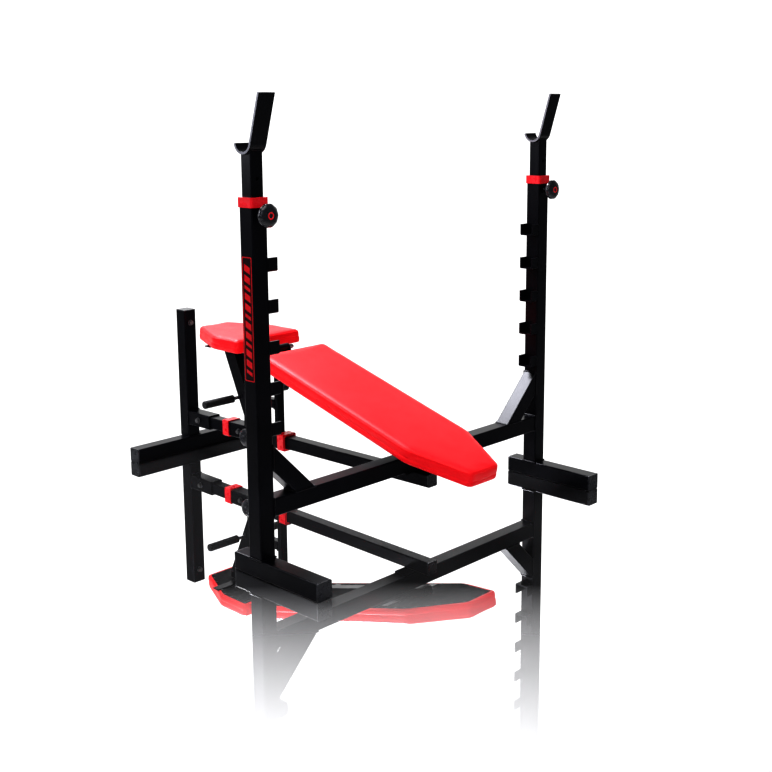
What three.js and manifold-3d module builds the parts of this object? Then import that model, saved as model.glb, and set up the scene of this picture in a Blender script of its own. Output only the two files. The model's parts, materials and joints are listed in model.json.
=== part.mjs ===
// Olympic bench press: a rack of two height-adjustable uprights, a seat carriage that slides on the
// central beam, and a hinged backrest that rests on the crossbar.
// Millimetres. +X runs across the rack, +Y towards the seat end, +Z up. The origin lies on the floor
// under the centre of the bounding box.

import * as THREE from 'three';
import { mergeVertices } from 'three/addons/utils/BufferGeometryUtils.js';
import Module from 'manifold-3d';

const wasm = await Module();
wasm.setup();

// Square tube.
const TUBE = 50;
const SLIM = 40;
const WALL = 2.5;
const CORNER = 4;
const GAP = 0.3;

// Rack.
const RACK_HALF = 595;
const RACK_Y = -422;
const UPRIGHT_TOP = 981;
const FOOT_FRONT = RACK_Y - 242;
const FOOT_REAR = RACK_Y + 87;
const CROSSBAR_BOTTOM = 161;
const CROSSBAR_TOP = CROSSBAR_BOTTOM + TUBE;
const BRACE_RISE = 147.5;

// Catches on the inner faces of the uprights.
const CATCH_COUNT = 5;
const CATCH_TOP = 851.5;
const CATCH_STEP = 108.6;
const CATCH_HEIGHT = 36;
const CATCH_REACH = 30.5;
const CATCH_PLATE = 5;

// Sliding posts and bar hooks.
const POST_BOTTOM = 600;
const HOLE_STEP = 90;
const HOLE_COUNT = 5;
const HOLE_RADIUS = 5;
const COLLAR = 57;
const COLLAR_LENGTH = 25.5;
const CARRIAGE_COLLAR_LENGTH = 31;
const SPIGOT = 10;
const RUNNING = 0.4;
const HOOK_Y = RACK_Y + 4.5;
const HOOK_Z = 1146.5;
const HOOK_RADIUS = 27;
const HOOK_PLATE = 6;
const HOOK_WIDTH = 53;
const HOOK_ARM = 132.5;
const HOOK_LIP = THREE.MathUtils.degToRad(11);
const HOOK_LEAN = THREE.MathUtils.degToRad(16.6);

// Clamp knobs.
const KNOB_Z = 963;
const KNOB_RADIUS = 31;
const KNOB_LOBES = 9;
const STUD_RADIUS = 5;
const BOSS_RADIUS = 12;
const BOSS_LENGTH = 12;

// Central beam and rear stand. The beam drops slightly towards the rear; BEAM_Z is the height of its
// centre line under the crossbar.
const BEAM_Z = 136;
const BEAM_DROP = 0.0142;
const BEAM_FRONT = RACK_Y - 75;
const REAR_Y = 697;
const REAR_FOOT_Y = 687;
const REAR_FOOT_HALF = 250;
const REAR_POST_TOP = 515.5;
const SOCKET_FRONT = 550;
const SOCKET_BOLT_Y = 611;
const POST_BOLT_Z = 469;

// Seat carriage.
const CARRIAGE_FRONT = 174.5;
const CARRIAGE_REAR = 435.5;
const CARRIAGE_KNOB_Y = 300;
const CARRIAGE_BOLT_Y = 380;
const STRUT_REAR = 349;
const STRUT_BEND_Z = 187;
const STRUT_ANGLE = THREE.MathUtils.degToRad(24.7);
const FRONT_POST_Y = 181.5;
const FRONT_POST_WIDTH = 30;
const FRONT_POST_DEPTH = 20;
const TIE_BOTTOM = 235;
const TIE_SIZE = 30;
const RAIL_TOP = 433.2;
const RAIL_HEIGHT = 30;
const RAIL_FRONT = 191.5;
const RAIL_REAR = 454.5;
const ROD_Y = 362;
const ROD_Z = 251;
const ROD_RADIUS = 6;
const ROD_HALF = 172;
const GRIP_RADIUS = 13.5;
const GRIP_START = 61;
const GRIP_END = 184;

// Padding.
const SEAT_PAD = 36.5;
const SEAT_BOARD = 9;
const BACK_PAD = 41;
const BACK_BOARD = 6;
const BOARD_INSET = 14;
const STRAP = 3;
const STRAP_WIDTH = 30;
const PAD_ROUND = 11;
const PAD_CORNER = 15;
const END_HALF = 62;
const SEAT_HALF = 142.3;
const SEAT_FRONT = 231.5;
const SEAT_SHOULDER = 365;
const SEAT_REAR = 544;

// Backrest, in its own frame: origin on the top of the pad's rear edge, -Y towards the front end.
const BACK_ANGLE = THREE.MathUtils.degToRad(16.14);
const BACK_Y = 119.5;
const BACK_Z = 454.6;
const BACK_HALF = 140.3;
const BACK_LENGTH = 860;
const BACK_SHOULDER = 670;
const BACK_TUBE_FRONT = -640;
const BACK_TUBE_REAR = 12;
const BACK_TUBE_HEIGHT = 25;
const BACK_STRAP_REAR = -110;
const BACK_STRAP_FRONT = -560;
const PIN_Y = 170;
const PIN_Z = 445.7;
const PIN_RADIUS = 6;
const PIN_HALF = 46;
const KNUCKLE_PLATE = 5;
const KNUCKLE_RADIUS = 13;

// Materials.
const finish = (color, roughness, metalness) => (
  new THREE.MeshStandardMaterial({ color, roughness, metalness })
);
const PAINT = () => finish(0x17181c, 0.38, 0.3);
const RED_PLASTIC = () => finish(0xd81e22, 0.35, 0);
const BLACK_PLASTIC = () => finish(0x141416, 0.55, 0);
const VINYL = () => finish(0xe01b24, 0.42, 0);
const PLYWOOD = () => finish(0x1b1a19, 0.8, 0);
const STEEL = () => finish(0xb4b6ba, 0.3, 1);
const CHROME = () => finish(0xd5d7da, 0.12, 1);
const RUBBER = () => finish(0x1a1a1b, 0.85, 0);

// The group is shifted so that the origin lies under the middle of the object's length.
const frontEnd = BACK_Y - (BACK_LENGTH - PAD_ROUND) * Math.cos(BACK_ANGLE)
  + PAD_ROUND * (Math.sin(BACK_ANGLE) - 1);
const rearEnd = REAR_Y + TUBE / 2;
const bench = new THREE.Group();
bench.position.y = -(frontEnd + rearEnd) / 2;

// Parts on the sloping beam are drawn level at BEAM_Z and turned together about the point under the
// crossbar.
const slope = new THREE.Group();
slope.position.set(0, RACK_Y, BEAM_Z);
slope.rotation.x = -BEAM_DROP;
const level = new THREE.Group();
level.position.set(0, -RACK_Y, -BEAM_Z);
slope.add(level);
bench.add(slope);
const beamHeight = (y) => BEAM_Z - BEAM_DROP * (y - RACK_Y);

function add(name, geometry, material, parent = bench) {
  const mesh = new THREE.Mesh(geometry, material());
  mesh.name = name;
  parent.add(mesh);
  return mesh;
}

// Solids: three.js geometry in and out of manifold for cuts and joins.

function solid(geometry) {
  const plain = geometry.clone();
  plain.deleteAttribute('normal');
  plain.deleteAttribute('uv');
  const merged = mergeVertices(plain, 1e-4);
  return new wasm.Manifold(new wasm.Mesh({
    numProp: 3,
    vertProperties: new Float32Array(merged.attributes.position.array),
    triVerts: new Uint32Array(merged.index.array),
  }));
}

function geometryOf(body) {
  const mesh = body.getMesh();
  const geometry = new THREE.BufferGeometry();
  geometry.setAttribute('position', new THREE.BufferAttribute(mesh.vertProperties, 3));
  geometry.setIndex(new THREE.BufferAttribute(mesh.triVerts, 1));
  geometry.computeVertexNormals();
  return geometry;
}

function cut(geometry, ...tools) {
  return geometryOf(tools.reduce((body, tool) => body.subtract(solid(tool)), solid(geometry)));
}

function join(...pieces) {
  return geometryOf(pieces.map(solid).reduce((body, piece) => body.add(piece)));
}

function common(first, second) {
  return geometryOf(solid(first).intersect(solid(second)));
}

// Sections and prisms.

function polygon(points) {
  return new THREE.Shape(points.map(([x, y]) => new THREE.Vector2(x, y)));
}

function rounded(width, height, radius, x = 0, y = 0) {
  const shape = new THREE.Shape();
  const w = width / 2;
  const h = height / 2;
  shape.moveTo(x - w + radius, y - h);
  shape.lineTo(x + w - radius, y - h);
  shape.absarc(x + w - radius, y - h + radius, radius, -Math.PI / 2, 0);
  shape.lineTo(x + w, y + h - radius);
  shape.absarc(x + w - radius, y + h - radius, radius, 0, Math.PI / 2);
  shape.lineTo(x - w + radius, y + h);
  shape.absarc(x - w + radius, y + h - radius, radius, Math.PI / 2, Math.PI);
  shape.lineTo(x - w, y - h + radius);
  shape.absarc(x - w + radius, y - h + radius, radius, Math.PI, 1.5 * Math.PI);
  return shape;
}

function tubeSection(width, height, x = 0, y = 0, wall = WALL) {
  const shape = rounded(width, height, CORNER, x, y);
  shape.holes.push(rounded(width - 2 * wall, height - 2 * wall, CORNER - wall, x, y));
  return shape;
}

function alongZ(shape, z0, z1) {
  const geometry = new THREE.ExtrudeGeometry(shape, {
    depth: z1 - z0, bevelEnabled: false, curveSegments: 3,
  });
  return geometry.translate(0, 0, z0);
}

// The section's x and y become world x and z.
function alongY(shape, y0, y1) {
  return alongZ(shape, 0, y1 - y0).rotateX(Math.PI / 2).translate(0, y1, 0);
}

// The section's x and y become world y and z.
function alongX(shape, x0, x1) {
  const turn = new THREE.Matrix4().makeBasis(
    new THREE.Vector3(0, 1, 0), new THREE.Vector3(0, 0, 1), new THREE.Vector3(1, 0, 0),
  );
  return alongZ(shape, 0, x1 - x0).applyMatrix4(turn).translate(x0, 0, 0);
}

function block(x0, x1, y0, y1, z0, z1) {
  const box = new THREE.BoxGeometry(x1 - x0, y1 - y0, z1 - z0);
  return box.translate((x0 + x1) / 2, (y0 + y1) / 2, (z0 + z1) / 2);
}

function rodX(radius, x0, x1, y, z, sides = 20) {
  const rod = new THREE.CylinderGeometry(radius, radius, x1 - x0, sides);
  return rod.rotateZ(-Math.PI / 2).translate((x0 + x1) / 2, y, z);
}

function rodY(radius, y0, y1, x, z, sides = 20) {
  const rod = new THREE.CylinderGeometry(radius, radius, y1 - y0, sides);
  return rod.translate(x, (y0 + y1) / 2, z);
}

function rodZ(radius, z0, z1, x, y, sides = 20) {
  const rod = new THREE.CylinderGeometry(radius, radius, z1 - z0, sides);
  return rod.rotateX(Math.PI / 2).translate(x, y, (z0 + z1) / 2);
}

// End cap for a square tube: a face plate with a plug inside the tube, pointing along +Z.
function endCap(width, face = 4, plug = 12) {
  const inner = width - 2 * WALL - 2 * GAP;
  return join(
    alongZ(rounded(width, width, CORNER), GAP, GAP + face),
    alongZ(rounded(inner, inner, 1.5), -plug, GAP + 0.01),
  );
}

const capUp = (width) => endCap(width);
const capFront = (width) => endCap(width).rotateX(Math.PI / 2);
const capBack = (width) => endCap(width).rotateX(-Math.PI / 2);
const capRight = (width) => endCap(width).rotateY(Math.PI / 2);
const capLeft = (width) => endCap(width).rotateY(-Math.PI / 2);
const CAP_FACE = 4;

// Sliding bushing: a ring outside the tube's mouth with a spigot inside it, along +Z.
function bushing(length) {
  const bore = SLIM + 2 * RUNNING;
  const ring = rounded(COLLAR, COLLAR, CORNER + 2);
  ring.holes.push(rounded(bore, bore, CORNER));
  const spigotWidth = TUBE - 2 * WALL - 2 * GAP;
  const spigot = rounded(spigotWidth, spigotWidth, 2);
  spigot.holes.push(rounded(bore, bore, CORNER));
  return join(
    alongZ(ring, GAP, GAP + length),
    alongZ(spigot, -SPIGOT, GAP + 0.01),
  );
}

// Hexagon bolt along +Z: head above z = 0 on a washer, shank below, and a nut at the far side.
function boltGeometry(shank, radius = 5, nutAt = 0) {
  const pieces = [
    rodZ(radius * 2.1, GAP, 2, 0, 0, 24),
    rodZ(radius * 1.75, 1.99, 9, 0, 0, 6),
    rodZ(radius - GAP, -shank, 3, 0, 0, 16),
  ];
  if (nutAt > 0) pieces.push(rodZ(radius * 1.75, -nutAt - 8, -nutAt - GAP, 0, 0, 6));
  return join(...pieces);
}

// Knob with its threaded stud along +Z: z = 0 is the tube's face.
function knobGeometry(reach) {
  const neck = [[0, 13], [11, 13], [11, 22], [0, 22]].map(([r, z]) => new THREE.Vector2(r, z));
  const outline = new THREE.Shape();
  const steps = KNOB_LOBES * 8;
  for (let i = 0; i < steps; i += 1) {
    const angle = (i / steps) * 2 * Math.PI;
    const radius = KNOB_RADIUS - 0.8 - 0.8 * Math.cos(angle * KNOB_LOBES);
    outline[i ? 'lineTo' : 'moveTo'](radius * Math.cos(angle), radius * Math.sin(angle));
  }
  const domed = [[0, 21], [16, 22], [27, 26], [31, 30], [31, 37], [27, 42], [20, 45], [0, 46]]
    .map(([r, z]) => new THREE.Vector2(r, z));
  return join(
    common(alongZ(outline, 20, 47), new THREE.LatheGeometry(domed, 40).rotateX(Math.PI / 2)),
    new THREE.LatheGeometry(neck, 24).rotateX(Math.PI / 2),
    rodZ(STUD_RADIUS - GAP, -reach, 14, 0, 0, 16),
  );
}

// Threaded boss on a tube's face, along +Z, and the bore for the stud through boss and wall.
const boss = () => rodZ(BOSS_RADIUS, -WALL / 2, BOSS_LENGTH, 0, 0, 24);
const studBore = () => rodZ(STUD_RADIUS, -2 * WALL, BOSS_LENGTH + 5, 0, 0, 16);

// Knob axes: turn +Z towards -Y for the rack and towards -X for the carriage.
const outFront = (geometry, x, y, z) => geometry.rotateX(Math.PI / 2).translate(x, y, z);
const outLeft = (geometry, x, y, z) => geometry.rotateY(-Math.PI / 2).translate(x, y, z);

// Rack side: side is -1 for left and 1 for right.

function rackSide(name, side) {
  const x = side * RACK_HALF;
  const front = RACK_Y - TUBE / 2;
  const tube = alongZ(tubeSection(TUBE, TUBE, x, RACK_Y), TUBE + GAP, UPRIGHT_TOP);
  const upright = join(tube, outFront(boss(), x, front, KNOB_Z));
  add(`${name}_upright`, cut(upright, outFront(studBore(), x, front, KNOB_Z)), PAINT);
  add(`${name}_collar`, bushing(COLLAR_LENGTH).translate(x, RACK_Y, UPRIGHT_TOP), RED_PLASTIC);

  const foot = tubeSection(TUBE, TUBE, x, TUBE / 2);
  add(`${name}_foot`, alongY(foot, FOOT_FRONT + CAP_FACE, FOOT_REAR - CAP_FACE), PAINT);
  add(`${name}_foot_front_cap`,
    capFront(TUBE).translate(x, FOOT_FRONT + CAP_FACE, TUBE / 2), BLACK_PLASTIC);
  add(`${name}_foot_rear_cap`,
    capBack(TUBE).translate(x, FOOT_REAR - CAP_FACE, TUBE / 2), BLACK_PLASTIC);

  add(`${name}_brace`, brace(side), PAINT);
  for (let i = 0; i < CATCH_COUNT; i += 1) {
    add(`${name}_catch_${i + 1}`, catchCradle(side, CATCH_TOP - i * CATCH_STEP), PAINT);
  }
}

// Diagonal brace in the corner between the crossbar's top and the upright's inner face.
function brace(side) {
  const corner = RACK_HALF - TUBE / 2 - GAP;
  const base = CROSSBAR_TOP + GAP;
  const drop = TUBE * Math.SQRT2;
  const outline = polygon([
    [corner - BRACE_RISE, base],
    [corner - BRACE_RISE + drop, base],
    [corner, base + BRACE_RISE - drop],
    [corner, base + BRACE_RISE],
  ]);
  const length = 400;
  const bar = alongX(tubeSection(TUBE, TUBE), -length / 2, length / 2);
  bar.rotateY(-Math.PI / 4);
  const middle = (BRACE_RISE - drop / 2) / 2;
  bar.translate(corner - middle, RACK_Y, base + middle);
  const mitred = common(bar, alongY(outline, RACK_Y - TUBE, RACK_Y + TUBE));
  return side > 0 ? mitred : mirrorX(mitred);
}

function mirrorX(geometry) {
  const flipped = geometry.clone().scale(-1, 1, 1);
  const index = flipped.index;
  for (let i = 0; i < index.count; i += 3) {
    const first = index.getX(i);
    index.setX(i, index.getX(i + 1));
    index.setX(i + 1, first);
  }
  flipped.computeVertexNormals();
  return flipped;
}

// Bent-plate cradle, open at the top, on the inner face of an upright.
function catchCradle(side, top) {
  const half = TUBE / 2;
  const bottom = top - CATCH_HEIGHT;
  const inner = half - CATCH_PLATE;
  const outline = polygon([
    [RACK_Y - half, bottom + 3],
    [RACK_Y - half + 3, bottom],
    [RACK_Y + half - 3, bottom],
    [RACK_Y + half, bottom + 3],
    [RACK_Y + half, top],
    [RACK_Y + inner, top],
    [RACK_Y + inner, bottom + CATCH_PLATE],
    [RACK_Y - inner, bottom + CATCH_PLATE],
    [RACK_Y - inner, top],
    [RACK_Y - half, top],
  ]);
  const wall = RACK_HALF - half - GAP;
  return side > 0 ? alongX(outline, wall - CATCH_REACH, wall) : alongX(outline, -wall, CATCH_REACH - wall);
}

// Sliding post with its bar hook and clamp knob.

function rackPost(name, side) {
  const x = side * RACK_HALF;
  const seat = rodX(HOOK_RADIUS + HOOK_PLATE + GAP, x - TUBE, x + TUBE, HOOK_Y, HOOK_Z, 64);
  const post = alongZ(tubeSection(SLIM, SLIM, x, RACK_Y), POST_BOTTOM, HOOK_Z - 12);
  const holes = [];
  for (let i = 0; i < HOLE_COUNT; i += 1) {
    const z = KNOB_Z + (1 - i) * HOLE_STEP;
    holes.push(rodY(HOLE_RADIUS, RACK_Y - TUBE, RACK_Y, x, z, 16));
  }
  add(`${name}_post`, cut(post, seat, ...holes), PAINT);
  add(`${name}_hook`, alongX(hookOutline(), x - HOOK_WIDTH / 2, x + HOOK_WIDTH / 2), PAINT);

  const front = RACK_Y - TUBE / 2;
  const reach = (TUBE - SLIM) / 2 - GAP;
  add(`${name}_knob`, outFront(knobGeometry(reach), x, front, KNOB_Z), BLACK_PLASTIC);
}

// Side view of the hook: a half-round cradle whose front side runs on as a tall leaning arm.
function hookOutline() {
  const outer = HOOK_RADIUS + HOOK_PLATE;
  const armFoot = Math.PI + HOOK_LEAN;
  const lip = 2 * Math.PI - HOOK_LIP;
  const along = (radius, length) => [
    HOOK_Y + radius * Math.cos(armFoot) - length * Math.sin(HOOK_LEAN),
    HOOK_Z + radius * Math.sin(armFoot) + length * Math.cos(HOOK_LEAN),
  ];
  const arc = (radius, from, to, steps) => Array.from({ length: steps + 1 }, (_, i) => {
    const angle = from + ((to - from) * i) / steps;
    return [HOOK_Y + radius * Math.cos(angle), HOOK_Z + radius * Math.sin(angle)];
  });
  return polygon([
    along(outer, HOOK_ARM),
    ...arc(outer, armFoot, lip, 16),
    ...arc(HOOK_RADIUS, lip, armFoot, 16),
    along(HOOK_RADIUS, HOOK_ARM),
  ]);
}

// Crossbar, beam and rear stand.

function baseFrame() {
  const inner = RACK_HALF - TUBE / 2 - GAP;
  const crossbar = tubeSection(TUBE, TUBE, RACK_Y, CROSSBAR_BOTTOM + TUBE / 2);
  add('crossbar', alongX(crossbar, -inner, inner), PAINT);
  const saddleBottom = beamHeight(RACK_Y - TUBE / 2) + SLIM / 2 + GAP;
  add('beam_saddle', block(-60, 60, RACK_Y - TUBE / 2, RACK_Y + TUBE / 2,
    saddleBottom, CROSSBAR_BOTTOM - GAP), PAINT);

  const beam = tubeSection(SLIM, SLIM, 0, BEAM_Z);
  const socketHole = () => rodX(5, -TUBE, TUBE, SOCKET_BOLT_Y, BEAM_Z, 16);
  const rearFace = REAR_Y - TUBE / 2;
  const beamTube = alongY(beam, BEAM_FRONT + CAP_FACE, rearFace - 8);
  add('central_beam', cut(beamTube, socketHole()), PAINT, level);
  add('beam_front_cap',
    capFront(SLIM).translate(0, BEAM_FRONT + CAP_FACE, BEAM_Z), BLACK_PLASTIC, level);

  const socket = alongY(tubeSection(TUBE, TUBE, 0, BEAM_Z), SOCKET_FRONT, rearFace - 3 * GAP);
  add('rear_socket', cut(socket, socketHole()), PAINT, level);
  const socketBolt = boltGeometry(TUBE + 12, 5, TUBE);
  add('rear_socket_bolt', outLeft(socketBolt, -TUBE / 2, SOCKET_BOLT_Y, BEAM_Z), STEEL, level);

  const post = alongZ(tubeSection(TUBE, TUBE, 0, REAR_Y), TUBE + GAP, REAR_POST_TOP - CAP_FACE);
  const postHole = rodY(5, rearFace - 5, rearFace + 10, 0, POST_BOLT_Z, 16);
  add('rear_post', cut(post, postHole), PAINT);
  add('rear_post_cap', capUp(TUBE).translate(0, REAR_Y, REAR_POST_TOP - CAP_FACE), BLACK_PLASTIC);
  add('rear_post_bolt', outFront(boltGeometry(30), 0, rearFace, POST_BOLT_Z), STEEL);

  const footTube = alongX(tubeSection(TUBE, TUBE, REAR_FOOT_Y, TUBE / 2),
    CAP_FACE - REAR_FOOT_HALF, REAR_FOOT_HALF - CAP_FACE);
  add('rear_foot', footTube, PAINT);
  add('rear_foot_left_cap',
    capLeft(TUBE).translate(CAP_FACE - REAR_FOOT_HALF, REAR_FOOT_Y, TUBE / 2), BLACK_PLASTIC);
  add('rear_foot_right_cap',
    capRight(TUBE).translate(REAR_FOOT_HALF - CAP_FACE, REAR_FOOT_Y, TUBE / 2), BLACK_PLASTIC);
}

// Seat carriage.

function carriage() {
  const side = -TUBE / 2;
  const tube = alongY(tubeSection(TUBE, TUBE, 0, BEAM_Z), CARRIAGE_FRONT, CARRIAGE_REAR);
  const sleeve = join(tube, outLeft(boss(), side, CARRIAGE_KNOB_Y, BEAM_Z));
  const boltHole = rodX(5, side - 5, side + 10, CARRIAGE_BOLT_Y, BEAM_Z, 16);
  add('carriage_sleeve',
    cut(sleeve, outLeft(studBore(), side, CARRIAGE_KNOB_Y, BEAM_Z), boltHole), PAINT, level);
  const collar = () => bushing(CARRIAGE_COLLAR_LENGTH);
  add('carriage_front_collar',
    collar().rotateX(Math.PI / 2).translate(0, CARRIAGE_FRONT, BEAM_Z), RED_PLASTIC, level);
  add('carriage_rear_collar',
    collar().rotateX(-Math.PI / 2).translate(0, CARRIAGE_REAR, BEAM_Z), RED_PLASTIC, level);
  const stopReach = (TUBE - SLIM) / 2 - GAP;
  add('carriage_stop_bolt',
    outLeft(boltGeometry(stopReach), side, CARRIAGE_BOLT_Y, BEAM_Z), STEEL, level);
  add('carriage_knob',
    outLeft(knobGeometry(stopReach), side, CARRIAGE_KNOB_Y, BEAM_Z), BLACK_PLASTIC, level);

  seatSupport();
  seat();
}

function seatSupport() {
  const sleeveTop = (y) => beamHeight(y) + TUBE / 2 + GAP;
  const top = RAIL_TOP - RAIL_HEIGHT - GAP;
  const lean = Math.tan(STRUT_ANGLE);
  const depth = TUBE / Math.cos(STRUT_ANGLE);
  const kink = STRUT_BEND_Z + TUBE * Math.tan(STRUT_ANGLE / 2);
  const rear = (z) => STRUT_REAR + lean * Math.max(z - STRUT_BEND_Z, 0);
  const front = (z) => STRUT_REAR - TUBE + Math.max(z - kink, 0) * lean;
  const base = sleeveTop(STRUT_REAR - TUBE);
  const outline = polygon([
    [front(base), base], [rear(base), base], [STRUT_REAR, STRUT_BEND_Z],
    [rear(top), top], [front(top), top], [STRUT_REAR - TUBE, kink],
  ]);
  const hollow = polygon([
    [front(base) + WALL, base - 9], [rear(base) - WALL, base - 9],
    [STRUT_REAR - WALL, STRUT_BEND_Z], [rear(top + 9) - WALL, top + 9],
    [front(top + 9) + WALL, top + 9], [STRUT_REAR - TUBE + WALL, kink],
  ]);
  const wide = TUBE / 2;
  const rodHole = rodX(ROD_RADIUS + GAP, -TUBE, TUBE, ROD_Y, ROD_Z);
  add('seat_strut', cut(alongX(outline, -wide, wide),
    alongX(hollow, WALL - wide, wide - WALL), rodHole), PAINT);

  const postSection = tubeSection(FRONT_POST_WIDTH, FRONT_POST_DEPTH, 0,
    FRONT_POST_Y + FRONT_POST_DEPTH / 2);
  add('seat_front_post', alongZ(postSection, sleeveTop(FRONT_POST_Y), top), PAINT);
  const tieFront = FRONT_POST_Y + FRONT_POST_DEPTH + GAP;
  const tieTop = TIE_BOTTOM + TIE_SIZE;
  const tieOutline = polygon([
    [tieFront, TIE_BOTTOM], [front(TIE_BOTTOM) - GAP, TIE_BOTTOM],
    [front(tieTop) - GAP, tieTop], [tieFront, tieTop],
  ]);
  const tieBar = alongY(tubeSection(TIE_SIZE, TIE_SIZE, 0, TIE_BOTTOM + TIE_SIZE / 2),
    tieFront - 20, STRUT_REAR);
  add('seat_tie', common(tieBar, alongX(tieOutline, -TUBE, TUBE)), PAINT);

  add('foot_hold_rod', rodX(ROD_RADIUS, -ROD_HALF, ROD_HALF, ROD_Y, ROD_Z), CHROME);
  add('foot_hold_grip_left', grip(-1), RUBBER);
  add('foot_hold_grip_right', grip(1), RUBBER);
}

// Rubber grip closed over the end of the rod.
function grip(side) {
  const bore = ROD_RADIUS + GAP;
  const profile = [
    [bore, GRIP_START], [GRIP_RADIUS - 3, GRIP_START], [GRIP_RADIUS, GRIP_START + 3],
    [GRIP_RADIUS, GRIP_END - 4], [GRIP_RADIUS - 4, GRIP_END], [0, GRIP_END],
    [0, ROD_HALF + 1], [bore, ROD_HALF + 1], [bore, GRIP_START],
  ].map(([r, z]) => new THREE.Vector2(r, z));
  const body = new THREE.LatheGeometry(profile, 24).rotateZ(-side * Math.PI / 2);
  return body.translate(0, ROD_Y, ROD_Z);
}

// Welded frame under the seat: a rail, two flat straps and the fixed eye of the backrest hinge.
function seatFrame() {
  const railSection = tubeSection(SLIM, RAIL_HEIGHT, 0, RAIL_TOP - RAIL_HEIGHT / 2);
  const wide = SLIM / 2 - 1.2;
  const frame = join(
    alongY(railSection, RAIL_FRONT, RAIL_REAR),
    strap(118, SEAT_FRONT + 45, RAIL_TOP),
    strap(122, SEAT_SHOULDER + 50, RAIL_TOP),
    rodX(KNUCKLE_RADIUS, -wide, wide, PIN_Y, PIN_Z, 32),
    block(-wide, wide, PIN_Y - 8, RAIL_FRONT + 1, RAIL_TOP - RAIL_HEIGHT, RAIL_TOP + 6),
  );
  return cut(frame, rodX(PIN_RADIUS + GAP, -TUBE, TUBE, PIN_Y, PIN_Z, 32));
}

// Flat steel strap across a frame tube whose top is at z.
function strap(half, y, z) {
  return block(-half, half, y - STRAP_WIDTH / 2, y + STRAP_WIDTH / 2, z - 0.5, z + STRAP);
}

// Padding outline seen from above: parallel sides up to the shoulder, then a taper to a short end.
// end points along dir from the wide edge at y0.
function paddingOutline(half, wideY, shoulderY, endY, inset = 0) {
  const dir = Math.sign(endY - wideY);
  const corners = [
    [half - inset, wideY + dir * inset],
    [half - inset, shoulderY],
    [END_HALF - inset * 0.4, endY - dir * inset],
    [inset * 0.4 - END_HALF, endY - dir * inset],
    [inset - half, shoulderY],
    [inset - half, wideY + dir * inset],
  ];
  if (dir < 0) corners.reverse();
  return roundCorners(corners, PAD_CORNER);
}

function roundCorners(corners, radius) {
  const shape = new THREE.Shape();
  const points = corners.map(([x, y]) => new THREE.Vector2(x, y));
  points.forEach((corner, i) => {
    const before = points[(i + points.length - 1) % points.length];
    const after = points[(i + 1) % points.length];
    const start = corner.clone().add(before.clone().sub(corner).setLength(radius));
    const end = corner.clone().add(after.clone().sub(corner).setLength(radius));
    shape[i ? 'lineTo' : 'moveTo'](start.x, start.y);
    shape.quadraticCurveTo(corner.x, corner.y, end.x, end.y);
  });
  return shape;
}

function cushion(outline, top, thickness) {
  const body = new THREE.ExtrudeGeometry(outline, {
    depth: thickness - 2 * PAD_ROUND, bevelThickness: PAD_ROUND, bevelSize: PAD_ROUND,
    bevelOffset: -PAD_ROUND, bevelSegments: 4, curveSegments: 4,
  });
  return body.translate(0, 0, top - thickness + PAD_ROUND);
}

function seat() {
  const boardTop = RAIL_TOP + STRAP + GAP + SEAT_BOARD;
  const outline = (inset) => (
    paddingOutline(SEAT_HALF, SEAT_FRONT, SEAT_SHOULDER, SEAT_REAR, inset)
  );
  add('seat_frame', seatFrame(), PAINT);
  add('seat_board', alongZ(outline(BOARD_INSET), boardTop - SEAT_BOARD, boardTop), PLYWOOD);
  add('seat_pad', cushion(outline(0), boardTop + GAP + SEAT_PAD, SEAT_PAD), VINYL);
}

// Backrest, built in its own inclined frame.

function backrest() {
  const frame = new THREE.Group();
  frame.position.set(0, BACK_Y, BACK_Z);
  frame.rotation.x = BACK_ANGLE;
  bench.add(frame);

  const boardTop = -BACK_PAD - GAP;
  const tubeTop = boardTop - BACK_BOARD - GAP - STRAP;
  const outline = (inset) => paddingOutline(BACK_HALF, 0, -BACK_SHOULDER, -BACK_LENGTH, inset);
  add('backrest_pad', cushion(outline(0), 0, BACK_PAD), VINYL, frame);
  add('backrest_board', alongZ(outline(BOARD_INSET), boardTop - BACK_BOARD, boardTop), PLYWOOD, frame);

  const section = tubeSection(SLIM, BACK_TUBE_HEIGHT, 0, tubeTop - BACK_TUBE_HEIGHT / 2);
  const pin = new THREE.Vector2(PIN_Y - BACK_Y, PIN_Z - BACK_Z)
    .rotateAround(new THREE.Vector2(), -BACK_ANGLE);
  const plateIn = SLIM / 2 - 0.5;
  const plateOut = plateIn + KNUCKLE_PLATE;
  const backFrame = join(
    alongY(section, BACK_TUBE_FRONT, BACK_TUBE_REAR),
    strap(112, BACK_STRAP_REAR, tubeTop),
    strap(112, BACK_STRAP_FRONT, tubeTop),
    knucklePlate(pin, tubeTop, -plateOut, -plateIn),
    knucklePlate(pin, tubeTop, plateIn, plateOut),
  );
  add('backrest_frame', backFrame, PAINT, frame);
  add('hinge_pin', hingePin(pin, plateOut), STEEL, frame);
}

function knucklePlate(pin, tubeTop, x0, x1) {
  const low = tubeTop - BACK_TUBE_HEIGHT + 1;
  const outline = polygon([
    [-62, tubeTop - 1], [-62, low], [BACK_TUBE_REAR + 6, low], [pin.x + 11, pin.y - 7],
    [pin.x - 9, pin.y + 9.4], [BACK_TUBE_REAR - 8, tubeTop - 1],
  ]);
  const ear = join(alongX(outline, x0, x1), rodX(KNUCKLE_RADIUS, x0, x1, pin.x, pin.y, 32));
  return cut(ear, rodX(PIN_RADIUS + GAP, -TUBE, TUBE, pin.x, pin.y, 32));
}

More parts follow.
